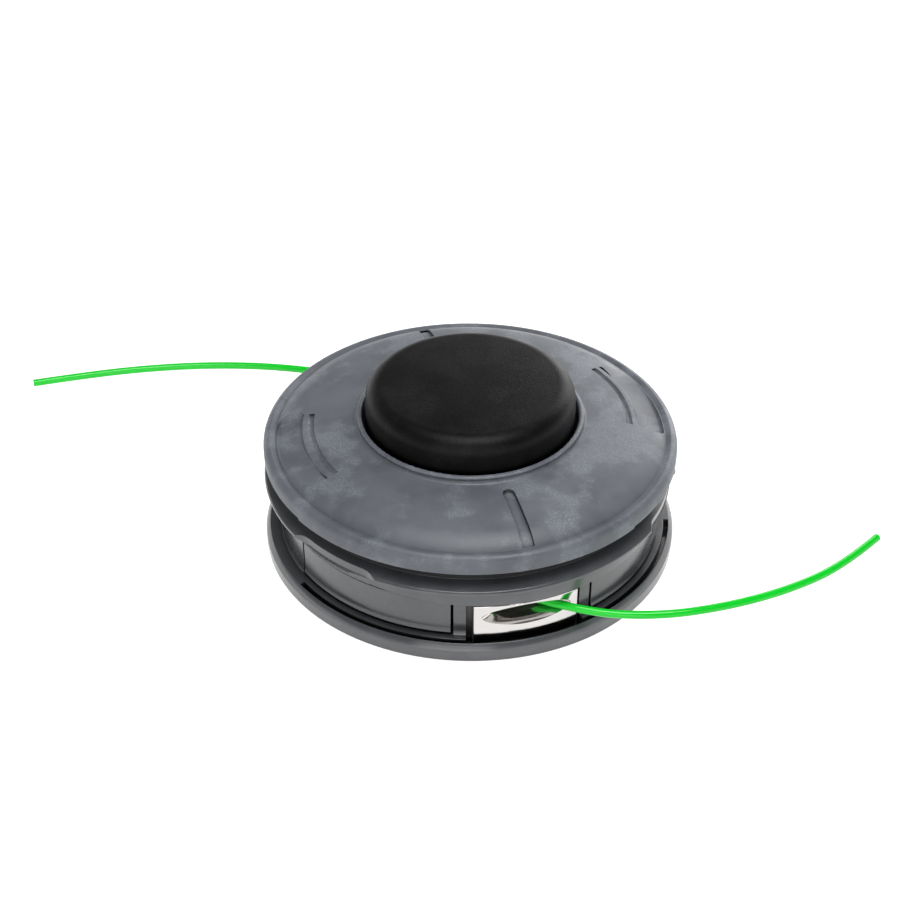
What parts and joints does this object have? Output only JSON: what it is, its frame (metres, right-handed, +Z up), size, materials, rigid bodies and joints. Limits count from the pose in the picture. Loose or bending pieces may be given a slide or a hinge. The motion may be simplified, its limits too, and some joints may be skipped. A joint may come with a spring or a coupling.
{
  "type": "bump feed trimmer head",
  "caption": "Round grass trimmer head with a spring loaded bump knob, a line spool inside, polished eyelets and green nylon line ends.",
  "frame": {"origin": "middle of the base flange's underside, on the drive axis", "axes": "+Z up along the drive axis through the bump knob, -Y out through the front line eyelet"},
  "size_m": [0.2477, 0.1787, 0.0565],
  "materials": {
    "grey_plastic": "moulded satin",
    "black_plastic": "fine matte grain",
    "spool_plastic": "moulded",
    "line": "extruded, slightly clear",
    "steel": "zinc plated",
    "eyelet_metal": "polished"
  },
  "bodies": {
    "head": {"housing": "grey_plastic", "cover": "grey_plastic", "eyelet_front": "eyelet_metal", "eyelet_rear": "eyelet_metal", "arbor_nut": "steel", "spring": "steel", "line_end_front": "line", "line_end_rear": "line"},
    "knob": {"bump_knob": "black_plastic"},
    "reel": {"spool": "spool_plastic", "line_winding_lower": "line", "line_winding_upper": "line", "spring_washer": "steel"}
  },
  "joints": [
    {"name": "knob_press", "type": "slide", "parent": "head", "child": "knob", "axis": [0, 0, -1], "range_m": [0, 0.0055], "stiffness_N_per_m": 900, "springref_m": -0.006, "deforming": ["spring"]},
    {"name": "spool_turn", "type": "hinge", "parent": "knob", "child": "reel", "pos_m": [0, 0, 0], "axis": [0, 0, 1], "continuous": true}
  ]
}
